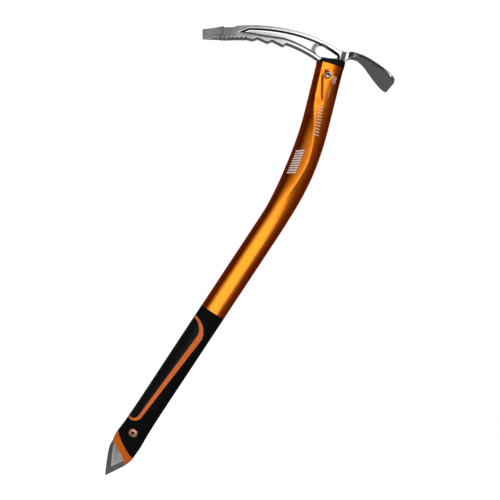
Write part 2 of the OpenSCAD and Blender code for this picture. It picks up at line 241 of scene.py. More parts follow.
class Nodes:
    """Short calls for building one material's nodes."""

    def __init__(self, name):
        self.mat = bpy.data.materials.new(name)
        self.mat.use_nodes = True
        self.tree = self.mat.node_tree
        self.shader = self.tree.nodes["Principled BSDF"]
        self.place = self.new("ShaderNodeTexCoord").outputs["Object"]

    def new(self, kind, **values):
        node = self.tree.nodes.new(kind)
        for key, value in values.items():
            setattr(node, key, value)
        return node

    def join(self, a, b):
        self.tree.links.new(a, b)

    def times(self, a, b):
        node = self.new("ShaderNodeMath", operation="MULTIPLY")
        self.join(a, node.inputs[0])
        self.join(b, node.inputs[1])
        return node.outputs[0]

    def noise(self, scale, detail=4.0, rough=0.6, stretch=None):
        """Noise, stretched by a scale along X, Y and Z and turned about Y."""
        node = self.new("ShaderNodeTexNoise")
        node.inputs["Scale"].default_value = scale
        node.inputs["Detail"].default_value = detail
        node.inputs["Roughness"].default_value = rough
        if stretch:
            turn = self.new("ShaderNodeMapping")
            turn.inputs["Scale"].default_value = stretch[:3]
            if len(stretch) > 3:
                turn.inputs["Rotation"].default_value[1] = stretch[3]
            self.join(self.place, turn.inputs["Vector"])
            self.join(turn.outputs[0], node.inputs["Vector"])
        else:
            self.join(self.place, node.inputs["Vector"])
        return node.outputs["Fac"]

    def cells(self, scale):
        """Distance to the middle of the nearest small cell."""
        node = self.new("ShaderNodeTexVoronoi")
        node.inputs["Scale"].default_value = scale
        self.join(self.place, node.inputs["Vector"])
        return node.outputs["Distance"]

    def span(self, value, low, high, out_low=0, out_high=1):
        """Maps the range low to high onto out_low to out_high, without going past it."""
        node = self.new("ShaderNodeMapRange")
        ends = {"From Min": low, "From Max": high, "To Min": out_low, "To Max": out_high}
        for key, number in ends.items():
            node.inputs[key].default_value = number
        self.join(value, node.inputs["Value"])
        return node.outputs[0]

    def mix(self, fac, a, b):
        """Colour between a, where the factor is 0, and b, where it is 1."""
        node = self.new("ShaderNodeMix", data_type="RGBA")
        self.join(fac, node.inputs["Factor"])
        for key, value in (("A", a), ("B", b)):
            socket = [s for s in node.inputs if s.name == key and s.type == "RGBA"][0]
            if isinstance(value, tuple):
                socket.default_value = (*value, 1)
            else:
                self.join(value, socket)
        return [s for s in node.outputs if s.type == "RGBA"][0]

    def convex_edges(self, low=0.52, high=0.60):
        """1 on convex edges, 0 elsewhere."""
        return self.span(self.new("ShaderNodeNewGeometry").outputs["Pointiness"], low, high)

    def plus(self, a, b, amount):
        """a + b * amount."""
        node = self.new("ShaderNodeMath", operation="MULTIPLY_ADD")
        self.join(b, node.inputs[0])
        node.inputs[1].default_value = amount
        self.join(a, node.inputs[2])
        return node.outputs[0]

    def around(self, centre, low, high):
        """1 within a radius of an axis along Y through the centre (x, z) in millimetres."""
        shift = self.new("ShaderNodeVectorMath", operation="SUBTRACT")
        self.join(self.place, shift.inputs[0])
        shift.inputs[1].default_value = (centre[0] * MM, 0, centre[1] * MM)
        flat = self.new("ShaderNodeVectorMath", operation="MULTIPLY")
        self.join(shift.outputs[0], flat.inputs[0])
        flat.inputs[1].default_value = (1, 0, 1)
        size = self.new("ShaderNodeVectorMath", operation="LENGTH")
        self.join(flat.outputs[0], size.inputs[0])
        return self.span(size.outputs["Value"], low * MM, high * MM, 1, 0)

    def bump(self, height, strength, distance):
        node = self.new("ShaderNodeBump")
        node.inputs["Strength"].default_value = strength
        node.inputs["Distance"].default_value = distance
        self.join(height, node.inputs["Height"])
        self.join(node.outputs[0], self.shader.inputs["Normal"])

    def set(self, **values):
        """Sets or links the shader's sockets, named with _ for a space."""
        for key, value in values.items():
            socket = self.shader.inputs[key.replace("_", " ")]
            if isinstance(value, bpy.types.NodeSocket):
                self.join(value, socket)
            elif isinstance(value, tuple):
                socket.default_value = (*value, 1)
            else:
                socket.default_value = value


BUMP_DEPTH = 0.0002             # in metres
# colour of the shade painted on the recess's walls
PAINTED_SHADE_GREY = (0.035, 0.030, 0.027)


def steel(name, dark, light, edge_wear_and_highlight, rough, grain, strength, blasted=None, bore=None, corners=None):
    """Brushed metal; blasted is the x, in metres, left of which it is coarser.

    bore is the (centre, radius, colour) of painted shade inside a hole, and corners names the
    mesh attribute that says where shade is painted on the recess's walls.
    """
    n = Nodes(name)
    cloud = n.noise(38, 5, 0.6)
    fine = n.noise(grain, 6, 0.7)
    streak = n.noise(260, 4, 0.6, (1, 1, 0.08, 0.6))
    body = n.mix(n.span(n.plus(cloud, fine, 0.5), 0.45, 1.0), dark, light)
    body = n.mix(n.convex_edges(), body, edge_wear_and_highlight)
    if corners:
        # painted shade on the recess's walls, patchy with the grain
        recess_shade = n.new("ShaderNodeAttribute", attribute_name=corners).outputs["Fac"]
        patchy = n.times(recess_shade, n.span(fine, 0.2, 0.8, 0.82, 1.0))
        body = n.mix(patchy, body, PAINTED_SHADE_GREY)
    if bore:
        # painted shade inside the rivet's bore
        centre, radius, painted_shade = bore
        body = n.mix(n.around(centre, radius, radius + 0.35), body, painted_shade)
    n.set(Base_Color=body, Metallic=1.0)
    if blasted is not None:
        part = n.new("ShaderNodeSeparateXYZ")
        n.join(n.place, part.inputs[0])
        coarse = n.times(n.span(part.outputs["X"], blasted, blasted + 0.03, 1, 0), fine)
        fine = n.plus(n.span(fine, 0, 1, 0, 0.12), coarse, 2.2)
    n.set(Roughness=n.plus(n.span(cloud, 0.3, 0.7, rough - 0.05, rough + 0.06), streak, 0.05))
    n.bump(n.plus(fine, streak, 0.1), strength, BUMP_DEPTH)
    return n.mat


def anodised():
    """Dyed aluminium, golden where it faces the side of the axe; the darker red-brown on surfaces turned away
    from it is painted shade.
    """
    n = Nodes("orange_anodised")
    cloud = n.noise(22, 3, 0.5)
    fine = n.noise(2600, 3, 0.6)
    line = n.noise(300, 3, 0.5, (1, 1, 0.03))
    tone = n.span(n.plus(cloud, fine, 0.35), 0.4, 0.95)
    flat = n.mix(tone, (0.84, 0.215, 0.009), (0.93, 0.265, 0.017))
    # painted shade: a darker red-brown copy of the dye for surfaces turned away from the axe's sides
    deep = n.mix(tone, (0.76, 0.080, 0.002), (0.86, 0.112, 0.003))
    part = n.new("ShaderNodeSeparateXYZ")
    n.join(n.new("ShaderNodeTexCoord").outputs["Normal"], part.inputs[0])
    turn = n.new("ShaderNodeMath", operation="ABSOLUTE")
    n.join(part.outputs["Y"], turn.inputs[0])
    body = n.mix(n.span(turn.outputs[0], 0.90, 0.996), deep, flat)
    body = n.mix(n.convex_edges(0.55, 0.66), body, (0.95, 0.42, 0.06))
    # painted shade in the sunk ring round the rivet's flange
    body = n.mix(n.around(HEAD_RIVET, 3.9, 4.5), body, (0.05, 0.012, 0.002))
    n.set(Base_Color=body, Metallic=1.0)
    n.set(Roughness=n.plus(n.span(cloud, 0.3, 0.7, 0.24, 0.29), line, 0.04))
    n.set(Coat_Weight=0.12, Coat_Roughness=0.16, Specular_Tint=(0.30, 0.14, 0.03))
    n.bump(n.plus(fine, line, 0.6), 0.02, BUMP_DEPTH)
    return n.mat


def plastic(name, dark, light, edge_wear_and_highlight, rough, grain, strength, specular=0.5):
    """Moulded plastic or rubber with a fine grain."""
    n = Nodes(name)
    cloud = n.noise(45, 4, 0.6)
    fine = n.cells(grain)
    speck = n.noise(grain * 1.4, 4, 0.7)
    tone = n.plus(cloud, speck, 0.5)
    body = n.mix(n.span(tone, 0.45, 1.0), dark, light)
    # convex edges take the edge colour: wear on most pieces, a painted highlight on the orange cap and on the
    # pad's ribs
    n.set(Base_Color=n.mix(n.convex_edges(0.53, 0.62), body, edge_wear_and_highlight), Specular_IOR_Level=specular)
    n.set(Roughness=n.span(tone, 0.4, 1.05, rough - 0.07, rough + 0.09))
    n.bump(n.plus(fine, speck, 0.8), strength, BUMP_DEPTH)
    return n.mat


# the forged steel takes painted shade on the recess's walls, from a mesh attribute
FORGED = steel(
    "forged_steel", (0.47, 0.47, 0.475), (0.58, 0.58, 0.585), (0.72, 0.72, 0.73),
    rough=0.16, grain=2200, strength=0.08, blasted=-0.165, corners="painted_shade")
SPIKE = steel(
    "spike_steel", (0.42, 0.42, 0.415), (0.58, 0.58, 0.57), (0.85, 0.85, 0.85),
    rough=0.47, grain=1400, strength=0.16)
# both rivets carry painted shade over their bores
RIVET = steel(
    "rivet_steel", (0.55, 0.55, 0.56), (0.72, 0.72, 0.73), (0.92, 0.92, 0.92),
    rough=0.20, grain=1200, strength=0.08, bore=(HEAD_RIVET, 1.25, (0.004, 0.004, 0.004)))
COPPER = steel(
    "rivet_copper", (0.42, 0.21, 0.13), (0.56, 0.30, 0.20), (0.82, 0.56, 0.44),
    rough=0.34, grain=1200, strength=0.14, bore=(SPIKE_AT, 1.7, (0.030, 0.008, 0.004)))
ANODISED = anodised()
ORANGE = plastic(
    "orange_polymer", (0.44, 0.085, 0.004), (0.58, 0.125, 0.010), (0.66, 0.26, 0.10),
    rough=0.42, grain=900, strength=0.12, specular=0.28)
# the cap's pale edge colour is a painted highlight along its rim
CAP = plastic(
    "orange_cap", (0.36, 0.070, 0.0005), (0.50, 0.100, 0.001), (0.80, 0.36, 0.14),
    rough=0.30, grain=900, strength=0.10, specular=0.10)
RUBBER = plastic(
    "black_rubber", (0.0015, 0.0015, 0.0018), (0.0040, 0.0040, 0.0045), (0.008, 0.008, 0.009),
    rough=0.60, grain=1500, strength=0.30, specular=0.05)
# the pale blue-grey edge colour is a painted highlight on the ribs' crests
PAD = plastic(
    "black_rubber_pad", (0.0015, 0.0015, 0.0018), (0.0040, 0.0040, 0.0045), (0.046, 0.050, 0.058),
    rough=0.38, grain=1500, strength=0.10, specular=0.20)
COLLAR = plastic(
    "black_polymer", (0.0014, 0.0014, 0.0016), (0.0040, 0.0040, 0.0044), (0.010, 0.010, 0.011),
    rough=0.42, grain=1200, strength=0.18, specular=0.09)
FILLER = plastic(
    "grey_polymer", (0.14, 0.14, 0.145), (0.20, 0.20, 0.21), (0.28, 0.28, 0.29),
    rough=0.55, grain=1000, strength=0.2)
INK = plastic(
    "pale_marking", (0.28, 0.215, 0.165), (0.40, 0.32, 0.265), (0.55, 0.47, 0.43),
    rough=0.45, grain=2200, strength=0.05)


# ---------------------------------------------------------------- the shaft

NEAR = 130              # steps along one side of a ring
AT_RIDGE = 84           # column that follows the ridge
AT_DART = (52, 70)      # columns that follow the dart's sides
DART_BAND = (-80, 20)   # v where these columns begin, and the height over which they do
RIDGE_SOFT = 0.6        # rounding of the ridge
HALF_THICK = 11.0       # half thickness of the tube
WALL = 1.9              # of the tube
PRESSED_FROM = -60      # v below which nothing is pressed into the tube


def shaft_shape(s):
    """Width, ridge place, slope of the two facets and fullness of the ends at arc length s."""
    width = table(s, [
        (GRIP_TOP, 32), (380, 32), (393, 32.8), (421, 34.4), (441, 35.2), (470, 34.6),
        (490, 33.8), (507, 33.3), (540, 33.4), (S_TOP, 33.6)])
    ridge = table(s, [
        (366, -1.0), (384, -1.6), (402, -1.0), (421, 2.0), (436, 4.1), (449, 5.2), (465, 4.2),
        (489, -0.3), (507, -4.8), (515, -7.1), (528, -8.9), (546, -9.5), (S_TOP, -9.9)])
    left = table(s, [
        (340, 0.0), (400, 0.07), (430, 0.11), (470, 0.13), (485, 0.18), (500, 0.31),
        (515, 0.44), (S_TOP, 0.52)])
    right = table(s, [
        (340, 0.0), (395, 0.10), (425, 0.22), (455, 0.26), (490, 0.22), (520, 0.11), (S_TOP, 0.075)])
    full = table(s, [(340, 3.5), (420, 3.6), (500, 4.2), (S_TOP, 5.0)])
    return width, ridge, left, right, full


def shaft_ring(s, shrink=0.0):
    """Half of one ring, from the adze's side to the pick's: t across, and height y."""
    width, ridge, left, right, full = shaft_shape(s)
    half, thick = width / 2 - shrink, HALF_THICK - shrink
    samples = 160
    a = np.linspace(0, math.pi / 2, samples)
    run = np.sin(a) ** (2 / full)
    facets = []
    for reach, slope in ((half - ridge, right), (-half - ridge, left)):
        off = np.abs(reach) * run
        roof = slope * (np.sqrt(off ** 2 + RIDGE_SOFT ** 2) - RIDGE_SOFT)
        facets.append((ridge + reach * run, (thick - roof) * np.cos(a)))
    (t_right, y_right), (t_left, y_left) = facets
    t = np.concatenate([t_right[::-1], t_left[1:]])
    y = np.concatenate([y_right[::-1], y_left[1:]])
    along = run_length(t, y)
    # one column follows the ridge, and above the bend two more follow the dart's sides
    v = s - S_TOP
    count, crest = np.arange(NEAR + 1), np.interp(-ridge, -t, along)
    want = np.interp(count, [0, AT_RIDGE, NEAR], [0, crest, along[-1]])
    if v > DART_BAND[0]:
        sides = np.interp(-np.array(dart(v)[::-1]), -t, along)
        guided = np.interp(count, [0, *AT_DART, AT_RIDGE, NEAR], [0, *sides, crest, along[-1]])
        want = want + (guided - want) * ease((v - DART_BAND[0]) / DART_BAND[1])
    return np.interp(want, along, t), np.interp(want, along, y)


def dart(v):
    """Foot and top of the dart's slope, across the shaft, at a height v."""
    risen = np.clip((v + 52) / 44, 0, 1)
    left = 3.4 - 12.9 * risen ** 0.55
    return left, np.maximum(3.8 - 10.1 * risen ** 0.86, left + 0.35)


def press(v, t):
    """Depth below the facet at (v, t).

    What lies left of the dart is pressed in, and the dart is the slope up from it.
    The rivet has a dimple, and a sunk ring round its flange.
    """
    dart_depth, dimple_depth, ring_depth = 1.25, 0.30, 0.6
    left, right = dart(v)
    deep = dart_depth * ease((v + 53) / 13) * (1 - ease((v + 17) / 12))
    rise = np.clip((t - left) / (right - left), 0, 1)
    depth = deep * (1 - rise * 0.8 - ease(rise) * 0.2)
    far = np.hypot(t + 1.1, v + RIVET_DEPTH)
    dimple = dimple_depth * (1 - ease((far - 4.4) / 2.8))
    return depth + dimple + ring_depth * ease((4.7 - far) / 0.8)


def whole_ring(t, y):
    """The near side mirrored to the far side, as one closed ring of t and y."""
    return np.concatenate([t, t[-2:0:-1]]), np.concatenate([-y, y[-2:0:-1]])


def shaft_rows(levels, shrink=0.0, relief=True):
    """Rings of the tube at the given arc lengths."""
    rows = []
    for s in levels:
        t, y = shaft_ring(s, shrink)
        if relief and s - S_TOP > PRESSED_FROM:
            y = y - press(s - S_TOP, t) * ease(y / 3.0)
        rows.append(across_shaft(s, *whole_ring(t, y)))
    return np.array(rows)


def core_rows(levels, width, thick):
    """Rings of the narrow oval tube that the grip covers."""
    a = np.linspace(0, math.pi, NEAR + 1)
    t = (width - thick) / 2 * np.clip(np.cos(a) * 2.2, -1, 1) + thick / 2 * np.cos(a)
    ring_t, ring_y = whole_ring(t, thick / 2 * np.sin(a))
    return np.array([np.stack([ring_t, ring_y, np.full_like(ring_t, z)], -1) for z in levels])


def shaft_mesh():
    """The skin and the bore as one closed wall, with the narrow part in the grip."""
    step = GRIP_TOP + 0.4
    low = np.linspace(step, BEND_START, 44)
    bend = np.linspace(BEND_START, S_TOP - UPPER, 76)[1:]
    up = np.linspace(S_TOP - UPPER, S_TOP, 140)[1:]
    bore = np.concatenate([[step + 1.6], low[4::4], bend[4::5], up[8::8], [S_TOP]])
    outer = np.concatenate([
        core_rows([SHAFT_LOW, GRIP_TOP - 0.4], 27, 17), shaft_rows(np.concatenate([low, bend, up]))])
    inner = np.concatenate([
        core_rows([SHAFT_LOW, GRIP_TOP + 1.5], 24, 14), shaft_rows(bore, WALL, False)])
    wall = np.concatenate([outer, inner[::-1], outer[:1]])
    return wall.reshape(-1, 3), grid_faces(len(wall), 2 * NEAR, wrap=True)


shaft = piece("shaft", *shaft_mesh(), ANODISED, "orange_anodised", ["shaft_tube"], angle=40)


# ---------------------------------------------------------------- marks on the shaft

INK_LIFT, INK_DEPTH = 0.06, 0.3     # top of a stroke above the skin, and its thickness


def on_shaft(s, t):
    """A point just above the near skin of the shaft."""
    across, height = shaft_ring(s)
    y = np.interp(t, across[::-1], height[::-1])
    y = y - press(s - S_TOP, t) * (s - S_TOP > PRESSED_FROM) + INK_LIFT
    return across_shaft(s, t, -y)


def stroke(path, half, closed):
    """Two rows of points along the sides of a stroke, whose path is (s, t) points."""
    p = np.array(path, float)
    if closed:
        p = np.concatenate([p, p[:1]])
    run = run_length(*p.T)
    want = np.linspace(0, run[-1], max(2, int(run[-1] / 0.8) + 1))
    s, t = np.interp(want, run, p[:, 0]), np.interp(want, run, p[:, 1])
    ds, dt = np.gradient(s), np.gradient(t)
    if closed:
        ds[0] = ds[-1] = s[1] - s[-2]
        dt[0] = dt[-1] = t[1] - t[-2]
    size = np.hypot(ds, dt)
    side_s, side_t = -dt / size * half, ds / size * half
    rows = np.array([
        [on_shaft(a + da * k, b + db * k) for a, b, da, db in zip(s, t, side_s, side_t)]
        for k in (-1, 1)])
    return rows[:, :-1] if closed else rows


def stamps(name, strokes):
    """Several raised strokes, each a (path, half width, closed), as one piece."""
    verts, faces = [], []
    for path, half, closed in strokes:
        top = stroke(path, half, closed)
        m, n, _ = top.shape
        faces += skin_faces(m, n, closed, len(verts))
        verts += top.reshape(-1, 3).tolist() + (top + [0, INK_DEPTH, 0]).reshape(-1, 3).tolist()
    return piece(name, verts, faces, INK, "orange_anodised")


def oblong(s0, s1, t0, t1, r, steps):
    """Closed outline with round corners, as (s, t) points."""
    out = []
    for s, t, a in ((s1 - r, t1 - r, 0), (s0 + r, t1 - r, 90), (s0 + r, t0 + r, 180), (s1 - r, t0 + r, 270)):
        out += arc(s, t, r, a, a + 90, steps)
    return out


def mark_shaft():
    """Plain generic marks in the places where the shaft is printed."""
    s, t, pitch = S_TOP - 124.5, -8.3, 3.2
    stamps("shaft_hatching", [
        ([(s - 17.6 + pitch * k, t - 4.6), (s - 13.4 + pitch * k, t + 4.8)], 0.85, False)
        for k in range(10)])
    s, pitch, drift = S_TOP - 54.0, 3.7, 0.36
    stamps("shaft_scale", [
        ([(s - pitch * k, -2.2 + drift * k), (s - pitch * k, 3.4 + drift * k)], 0.55, False)
        for k in range(10)])
    s, pitch = S_TOP - 19.0, 1.7
    frame_and_bars = [(oblong(S_TOP - 20.6, S_TOP - 14.2, 6.9, 10.3, 0.5, 2), 0.35, True)]
    frame_and_bars += [([(s + pitch * k, 7.9), (s + pitch * k, 9.4)], 0.28, False) for k in range(3)]
    frame_and_bars.append(([(S_TOP - 22.6, 7.0), (S_TOP - 22.6, 10.2)], 0.3, False))
    stamps("shaft_small_frame", frame_and_bars)
    s, pitch, dash = S_TOP - 27.5, 2.3, 1.4
    stamps("shaft_dashes", [
        ([(s - pitch * k, 6.6 - 0.1 * k), (s - dash - pitch * k, 6.5 - 0.1 * k)], 0.32, False)
        for k in range(6)])


mark_shaft()


# ---------------------------------------------------------------- outlines

def outline_of(points, spacing):
    """Closed polyline resampled so that corners stay and edges are split."""
    p = np.array(points, float)
    out = []
    for a, b in zip(p, np.roll(p, -1, 0)):
        count = max(1, int(round(np.hypot(*(b - a)) / spacing)))
        out += [a + (b - a) * k / count for k in range(count)]
    return np.array(out)


def anticlockwise(loop):
    area = 0.5 * np.sum(loop[:, 0] * np.roll(loop[:, 1], -1) - np.roll(loop[:, 0], -1) * loop[:, 1])
    return loop[::-1] if area < 0 else loop


def inset(loop, amount):
    """A closed loop moved to its left by an amount, with mitred corners."""
    before, after = loop - np.roll(loop, 1, 0), np.roll(loop, -1, 0) - loop
    before /= np.linalg.norm(before, axis=1)[:, None]
    after /= np.linalg.norm(after, axis=1)[:, None]
    n1, n2 = np.stack([-before[:, 1], before[:, 0]], -1), np.stack([-after[:, 1], after[:, 0]], -1)
    mid = n1 + n2
    mid /= np.maximum(np.linalg.norm(mid, axis=1), 1e-6)[:, None]
    sharpest = 0.45     # cosine that limits how far a mitre reaches
    cos = np.maximum((mid * n1).sum(1), sharpest)
    return loop + mid * (amount / cos)[:, None]


def inside(points, loop):
    """Whether each point is inside the loop."""
    x, y = points[:, None, 0], points[:, None, 1]
    x1, y1 = loop[:, 0], loop[:, 1]
    x2, y2 = np.roll(x1, -1), np.roll(y1, -1)
    span = np.where(y2 == y1, 1e-12, y2 - y1)
    hit = ((y1 > y) != (y2 > y)) & (x < (x2 - x1) * (y - y1) / span + x1)
    return hit.sum(1) % 2 == 1


def distance(points, line, closed=True):
    """Distance from each point to a closed loop or an open line."""
    best = np.full(len(points), 1e9)
    ends = np.roll(line, -1, 0) if closed else line[1:]
    for a, b in zip(line, ends):
        d = b - a
        k = np.clip(((points - a) @ d) / max(d @ d, 1e-12), 0, 1)
        best = np.minimum(best, np.hypot(*(points - a - k[:, None] * d).T))
    return best


def depth_in(points, loop):
    """Distance to the loop, below 0 for points outside it."""
    return distance(points, loop) * np.where(inside(points, loop), 1, -1)


def triangulated(points, *loops):
    """Triangles inside the first loop and outside the others.

    The loops' own points come first among the points, in their order.
    """
    edges, start = [], 0
    for loop in loops:
        n = len(loop)
        edges += [(start + k, start + (k + 1) % n) for k in range(n)]
        start += n
    co, _, triangles, _, _, _ = delaunay_2d_cdt([Vector(p) for p in points], edges, [], 0, 1e-5)
    co, triangles = np.array([tuple(c) for c in co]), np.array(triangles)
    middles = co[triangles].mean(1)
    keep = inside(middles, loops[0])
    for hole in loops[1:]:
        keep &= ~inside(middles, hole)
    return co, triangles[keep]


def both_sides(near, far, triangles):
    """Points and faces of two reliefs with the same triangles, without the wall between them."""
    faces = triangles.tolist() + (triangles[:, ::-1] + len(near)).tolist()
    return np.concatenate([near, far]), faces


# ---------------------------------------------------------------- the pick

def crown(inset_by, left, right):
    """Upper edge of the pick: two arcs that meet at its highest point."""
    top_u, top_v, left_r, right_r = -52, 30, 220, 175
    return (arc(top_u, top_v - left_r, left_r - inset_by, 90 + left, 90, 26)
            + arc(top_u, top_v - right_r, right_r - inset_by, 90, 90 - right, 24)[1:])


def root(inset_by, a, b):
    """Hollow lower edge of the pick next to the shaft."""
    return arc(-72, -136.4, 150 + inset_by, a, b, 18)


def eye_outline():
    """The carabiner eye: a large and a small round end with straight sides."""
    big_u, big_v, big_r = -14.3, 14.8, 7.6
    small_u, small_v, small_r = 3.8, 12.8, 2.3
    run_u, run_v = small_u - big_u, small_v - big_v
    lean = math.degrees(math.atan2(run_v, run_u))
    gap = math.degrees(math.acos((big_r - small_r) / math.hypot(run_u, run_v)))
    return (arc(big_u, big_v, big_r, lean + gap, lean + 360 - gap, 40)
            + arc(small_u, small_v, small_r, lean - gap, lean + gap, 14))


PICK = (
    [(-161, 5.6), (-149, 9.8), (-136.8, 15.2), (-135.8, 13.6), (-124.2, 16.4)]
    + crown(0, 18.2, 19.2)
    + [(9, 20), (13, 20.2), (21, 22), (21, 14.4), (18.2, 12), (16.6, 8.5), (15.5, 2), (-15, 2)]
    + root(0, 68.5, 84.6)
    + [(-61.6, 9.4), (-75.8, 12.6), (-80.5, 8.8), (-93.6, 11.2), (-98.6, 7.6), (-105, 7.5),
       (-120, 3.8), (-133.5, -0.2), (-147, -3.1), (-158, -5.2)])
RECESS = (
    [(-116, 12.4)] + crown(3.8, 14.4, 17)
    + [(6.2, 15.5), (8.2, 12.8), (8.9, 10.6), (8.2, 8.4), (5.6, 6.8), (2.0, 6.1), (-16, 6)]
    + root(3.4, 68.8, 86) + [(-84, 14.2), (-95, 13.4)])
RECESS_STEP = 0.8       # spacing of the points along the recess
EYE = eye_outline()

HALF = 4.5              # half thickness of the pick's rims
WEB = 1.7               # half thickness of the web in the recess
WEB_SLOPE = 0.012       # the web is thinner towards the shaft
GROUND = -137           # u where the thinner, ground end begins
THINNEST = 0.7          # half thickness that no scallop goes below
SCALLOPS, SCALLOP_PITCH, SCALLOP_R = 8, 5.2, 2.3
SCALLOP_U = -144        # u of the first scallop


def scallop_v(u):
    """Height of the row of scallops."""
    return -2.3 + (u - SCALLOP_U) * 0.257


def base_half(u):
    """Half thickness of the pick before the recess and the bevels."""
    return table(u, [(-162, 1.5), (-137.4, 2.6), (-136.6, 3.35), (-118, 4.3), (-90, HALF),
                     (8.8, HALF), (16.5, 2.7), (30, 2.7)])


def relief(p, outer_loop, recess_loop, eye_loop):
    """Half thickness of the pick at each (u, v) point."""
    u, v = p[:, 0], p[:, 1]
    h = base_half(u)
    # the outer edge is rounded over
    edge = distance(p, outer_loop)
    soft = np.where(u < GROUND, 0.25, 0.55)
    h = h - soft * (1 - np.clip(edge / (soft * 1.3), 0, 1)) ** 2
    # the recess: a chamfered rim, a wall that is wider below, and a web with a lip round the eye
    deep = depth_in(p, recess_loop)
    rim = distance(p, eye_loop)
    centre = table(u, [(-116, 12), (-95, 16.5), (-83, 18.5), (-59, 20), (-35, 19), (-8, 13.8), (10, 9)])
    width = 1.7 + 0.7 * ease((centre - v) / 2 + 0.5) * ease((u + 116) / 20)
    wall = np.clip((deep + 0.1) / width, 0, 1)
    floor = WEB + WEB_SLOPE * (-50 - u) + 0.12 * (1 - np.clip((deep - width) / 0.8, 0, 1)) ** 2
    floor = floor + 0.55 * np.exp(-(rim / 3.2) ** 2) * ease((-8 - u) / 6)
    h = h - 0.22 * (1 - np.clip(-(deep + 0.1) / 0.6, 0, 1)) ** 2
    h = h + (floor - h) * wall
    h = h - 0.45 * (1 - np.clip(rim / 0.8, 0, 1)) ** 2
    # fine scallops on the lower edge of the ground end
    for i in range(SCALLOPS):
        u_mid = SCALLOP_U + SCALLOP_PITCH * i
        v_mid = scallop_v(u_mid)
        du = (u - u_mid) * 0.97 + (v - v_mid) * 0.25
        dv = (v - v_mid) * 0.97 - (u - u_mid) * 0.25
        axis = base_half(np.full(1, u_mid))[0] + 0.9 + 0.72 * np.maximum(dv + 0.2, 0)
        cut = axis - np.sqrt(np.maximum(SCALLOP_R ** 2 - du ** 2, 0))
        cut_here = (np.abs(du) < SCALLOP_R) & (dv < 4)
        h = np.where(cut_here, np.minimum(h, np.maximum(cut, THINNEST)), h)
    return h


def pick_loops():
    """Outer edge, recess and eye as closely spaced loops."""
    out = outline_of(PICK, 0.9)
    scalloped = (out[:, 0] > -150) & (out[:, 0] < -103) & (out[:, 1] < 9)
    split = []
    for k, (a, b) in enumerate(zip(out, np.roll(out, -1, 0))):
        split += [a, (a * 2 + b) / 3, (a + b * 2) / 3] if scalloped[k] else [a]
    loops = np.array(split), outline_of(RECESS, RECESS_STEP), outline_of(EYE, 0.8)
    return [anticlockwise(loop) for loop in loops]


def pick_points(out, rec, eye):
    """The outer loop and the eye, then rings along every edge, then points between them."""
    rings = [(d, out) for d in (0.18, 0.42, 0.72, 0.98)]
    rings += [(d, rec) for d in (-1.0, -0.7, -0.4, -0.1, 0.2, 0.6, 1.0, 1.3, 1.6, 1.8, 2.1, 2.3, 2.9, 3.4)]
    rings += [(d, eye) for d in (-0.25, -0.55, -0.9, -1.8, -2.8, -4.0)]
    points = [out, eye]
    for amount, base in rings:
        loop = inset(base, amount)
        keep = inside(loop, out) & ~inside(loop, eye)
        keep &= (distance(loop, out) > 0.12) & (distance(loop, eye) > 0.15)
        keep &= distance(loop, base) > abs(amount) - 0.06
        if base is eye:
            keep &= distance(loop, rec) > 0.5
        points.append(loop[keep])
    step, fine = 1.3, 0.4
    gu, gv = np.meshgrid(np.arange(-162, 22, step), np.arange(-6, 31, step))
    grid = np.stack([gu.ravel() + step / 2 * (np.round(gv.ravel() / step) % 2), gv.ravel()], -1)
    gu, gv = np.meshgrid(np.arange(-148, -104, fine), np.arange(-6, 14, fine))
    row = np.stack([gu.ravel(), gv.ravel()], -1)
    row = row[np.abs(row[:, 1] - scallop_v(row[:, 0])) < 4.2]
    across = 40
    step_u = np.repeat(GROUND + np.array([-0.7, -0.4, 0.4, 0.7]), across)
    ground = np.stack([step_u, np.tile(np.linspace(-1.2, 15, across), 4)], -1)
    for cloud, clear in ((grid, 1.15), (row, 0.5), (ground, 0.5)):
        keep = inside(cloud, out) & ~inside(cloud, eye)
        keep &= (distance(cloud, out) > clear) & (distance(cloud, eye) > 0.5)
        cloud = cloud[keep]
        deep = depth_in(cloud, rec)
        points.append(cloud[(deep > 3.8) | (deep < -1.25)])
    return thinned(np.concatenate(points), len(out) + len(eye))


def thinned(points, always, cell=0.07):
    """Drops points that nearly coincide with an earlier one, but none of the first ones."""
    seen, keep = set(), []
    for k, (u, v) in enumerate(points):
        key = (round(u / cell), round(v / cell))
        if key not in seen or k < always:
            seen.add(key)
            keep.append(k)
    return points[keep]


def pick_mesh():
    """Near and far reliefs of the pick, joined by its edge walls and the eye's wall."""
    out, rec, eye = pick_loops()
    co, triangles = triangulated(pick_points(out, rec, eye), out, eye)
    h = relief(co, out, rec, eye)
    near, far = head(co[:, 0], co[:, 1], -h), head(co[:, 0], co[:, 1], h)
    verts, faces = both_sides(near, far, triangles)
    # the walls follow every edge that only one triangle has
    used = Counter()
    for t in triangles:
        for a, b in ((t[0], t[1]), (t[1], t[2]), (t[2], t[0])):
            used[(int(min(a, b)), int(max(a, b)))] += 1
    count = len(co)
    faces += [[a, b, b + count, a + count] for (a, b), times in used.items() if times == 1]
    return verts, faces


# ---------------------------------------------------------------- the neck and the adze

REACH = 77.3                            # u of the adze's end
DROOP = math.radians(30.5)
TURN = 48.0                             # radius of the bend from the neck to the blade
TOP_U, TOP_V = 19.5, 22.0               # where the bend begins
TURN_END_U = TOP_U + TURN * math.sin(DROOP)
TURN_END_V = TOP_V - TURN * (1 - math.cos(DROOP))
BLADE = 3.2                             # thickness of the blade
ROUND_CORNER = 7.5                      # radius of the adze's two corners


def blade_straight(u):
    """Top of the straight part of the blade."""
    return TURN_END_V - (u - TURN_END_U) * math.tan(DROOP)


